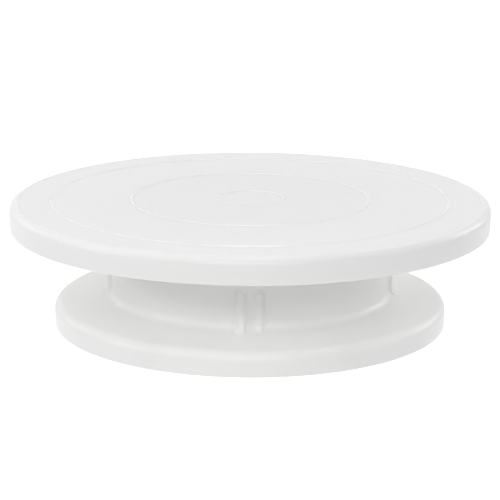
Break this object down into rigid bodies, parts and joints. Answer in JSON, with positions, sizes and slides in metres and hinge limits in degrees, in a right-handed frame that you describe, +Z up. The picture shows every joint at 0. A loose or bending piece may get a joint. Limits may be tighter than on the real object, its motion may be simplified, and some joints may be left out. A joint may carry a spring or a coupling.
{
  "type": "cake turntable",
  "caption": "Free-standing cake turntable: rimmed round platter with guide rings, turning on a caged ball race on a wide drum base with rib pairs and a flanged foot.",
  "frame": {"origin": "centre of the footprint, on the surface that the rubber feet stand on", "axes": "+Z up along the turning axis; +X and +Y through two of the drum's rib pairs, with -Y towards the front"},
  "size_m": [0.28, 0.28, 0.0738],
  "materials": {
    "white_plastic": "gloss moulded",
    "nylon": "natural moulded",
    "steel": "turned, zinc plated",
    "spring_steel": "oiled",
    "ball_steel": "ground and polished",
    "rubber": "matt"
  },
  "bodies": {
    "base": {"base": "white_plastic", "upper_bush": "nylon", "lower_bush": "nylon", "hub_cap": "white_plastic", "rubber_foot_1": "rubber", "rubber_foot_2": "rubber", "rubber_foot_3": "rubber", "rubber_foot_4": "rubber", "rubber_foot_5": "rubber", "rubber_foot_6": "rubber"},
    "platter": {"platter": "white_plastic", "spindle": "steel", "spindle_screws": "steel", "thrust_washer": "nylon", "retaining_washer": "steel", "retaining_clip": "spring_steel"},
    "cage": {"ball_cage": "nylon"},
    "ball_1": {"bearing_ball_1": "ball_steel"},
    "ball_2": {"bearing_ball_2": "ball_steel"},
    "ball_3": {"bearing_ball_3": "ball_steel"},
    "ball_4": {"bearing_ball_4": "ball_steel"},
    "ball_5": {"bearing_ball_5": "ball_steel"},
    "ball_6": {"bearing_ball_6": "ball_steel"},
    "ball_7": {"bearing_ball_7": "ball_steel"},
    "ball_8": {"bearing_ball_8": "ball_steel"},
    "ball_9": {"bearing_ball_9": "ball_steel"},
    "ball_10": {"bearing_ball_10": "ball_steel"},
    "ball_11": {"bearing_ball_11": "ball_steel"},
    "ball_12": {"bearing_ball_12": "ball_steel"},
    "ball_13": {"bearing_ball_13": "ball_steel"},
    "ball_14": {"bearing_ball_14": "ball_steel"},
    "ball_15": {"bearing_ball_15": "ball_steel"},
    "ball_16": {"bearing_ball_16": "ball_steel"}
  },
  "joints": [
    {"name": "platter_spin", "type": "hinge", "parent": "base", "child": "platter", "pos_m": [0, 0, 0.0734], "axis": [0, 0, 1], "continuous": true},
    {"name": "cage_spin", "type": "hinge", "parent": "base", "child": "cage", "pos_m": [0, 0, 0.0644], "axis": [0, 0, 1], "continuous": true},
    {"name": "ball_spin_1", "type": "hinge", "parent": "cage", "child": "ball_1", "pos_m": [0.072, 0, 0.0644], "axis": [1, 0, 0], "continuous": true},
    {"name": "ball_spin_2", "type": "hinge", "parent": "cage", "child": "ball_2", "pos_m": [0.06652, 0.02755, 0.0644], "axis": [0.9239, 0.3827, 0], "continuous": true},
    {"name": "ball_spin_3", "type": "hinge", "parent": "cage", "child": "ball_3", "pos_m": [0.05091, 0.05091, 0.0644], "axis": [0.7071, 0.7071, 0], "continuous": true},
    {"name": "ball_spin_4", "type": "hinge", "parent": "cage", "child": "ball_4", "pos_m": [0.02755, 0.06652, 0.0644], "axis": [0.3827, 0.9239, 0], "continuous": true},
    {"name": "ball_spin_5", "type": "hinge", "parent": "cage", "child": "ball_5", "pos_m": [0, 0.072, 0.0644], "axis": [0, 1, 0], "continuous": true},
    {"name": "ball_spin_6", "type": "hinge", "parent": "cage", "child": "ball_6", "pos_m": [-0.02755, 0.06652, 0.0644], "axis": [-0.3827, 0.9239, 0], "continuous": true},
    {"name": "ball_spin_7", "type": "hinge", "parent": "cage", "child": "ball_7", "pos_m": [-0.05091, 0.05091, 0.0644], "axis": [-0.7071, 0.7071, 0], "continuous": true},
    {"name": "ball_spin_8", "type": "hinge", "parent": "cage", "child": "ball_8", "pos_m": [-0.06652, 0.02755, 0.0644], "axis": [-0.9239, 0.3827, 0], "continuous": true},
    {"name": "ball_spin_9", "type": "hinge", "parent": "cage", "child": "ball_9", "pos_m": [-0.072, 0, 0.0644], "axis": [-1, 0, 0], "continuous": true},
    {"name": "ball_spin_10", "type": "hinge", "parent": "cage", "child": "ball_10", "pos_m": [-0.06652, -0.02755, 0.0644], "axis": [-0.9239, -0.3827, 0], "continuous": true},
    {"name": "ball_spin_11", "type": "hinge", "parent": "cage", "child": "ball_11", "pos_m": [-0.05091, -0.05091, 0.0644], "axis": [-0.7071, -0.7071, 0], "continuous": true},
    {"name": "ball_spin_12", "type": "hinge", "parent": "cage", "child": "ball_12", "pos_m": [-0.02755, -0.06652, 0.0644], "axis": [-0.3827, -0.9239, 0], "continuous": true},
    {"name": "ball_spin_13", "type": "hinge", "parent": "cage", "child": "ball_13", "pos_m": [0, -0.072, 0.0644], "axis": [0, -1, 0], "continuous": true},
    {"name": "ball_spin_14", "type": "hinge", "parent": "cage", "child": "ball_14", "pos_m": [0.02755, -0.06652, 0.0644], "axis": [0.3827, -0.9239, 0], "continuous": true},
    {"name": "ball_spin_15", "type": "hinge", "parent": "cage", "child": "ball_15", "pos_m": [0.05091, -0.05091, 0.0644], "axis": [0.7071, -0.7071, 0], "continuous": true},
    {"name": "ball_spin_16", "type": "hinge", "parent": "cage", "child": "ball_16", "pos_m": [0.06652, -0.02755, 0.0644], "axis": [0.9239, -0.3827, 0], "continuous": true}
  ],
  "couplings": [
    {"joint": "cage_spin", "follows": "platter_spin", "ratio": 0.5},
    {"joint": "ball_spin_1", "follows": "platter_spin", "ratio": -9},
    {"joint": "ball_spin_2", "follows": "platter_spin", "ratio": -9},
    {"joint": "ball_spin_3", "follows": "platter_spin", "ratio": -9},
    {"joint": "ball_spin_4", "follows": "platter_spin", "ratio": -9},
    {"joint": "ball_spin_5", "follows": "platter_spin", "ratio": -9},
    {"joint": "ball_spin_6", "follows": "platter_spin", "ratio": -9},
    {"joint": "ball_spin_7", "follows": "platter_spin", "ratio": -9},
    {"joint": "ball_spin_8", "follows": "platter_spin", "ratio": -9},
    {"joint": "ball_spin_9", "follows": "platter_spin", "ratio": -9},
    {"joint": "ball_spin_10", "follows": "platter_spin", "ratio": -9},
    {"joint": "ball_spin_11", "follows": "platter_spin", "ratio": -9},
    {"joint": "ball_spin_12", "follows": "platter_spin", "ratio": -9},
    {"joint": "ball_spin_13", "follows": "platter_spin", "ratio": -9},
    {"joint": "ball_spin_14", "follows": "platter_spin", "ratio": -9},
    {"joint": "ball_spin_15", "follows": "platter_spin", "ratio": -9},
    {"joint": "ball_spin_16", "follows": "platter_spin", "ratio": -9}
  ]
}
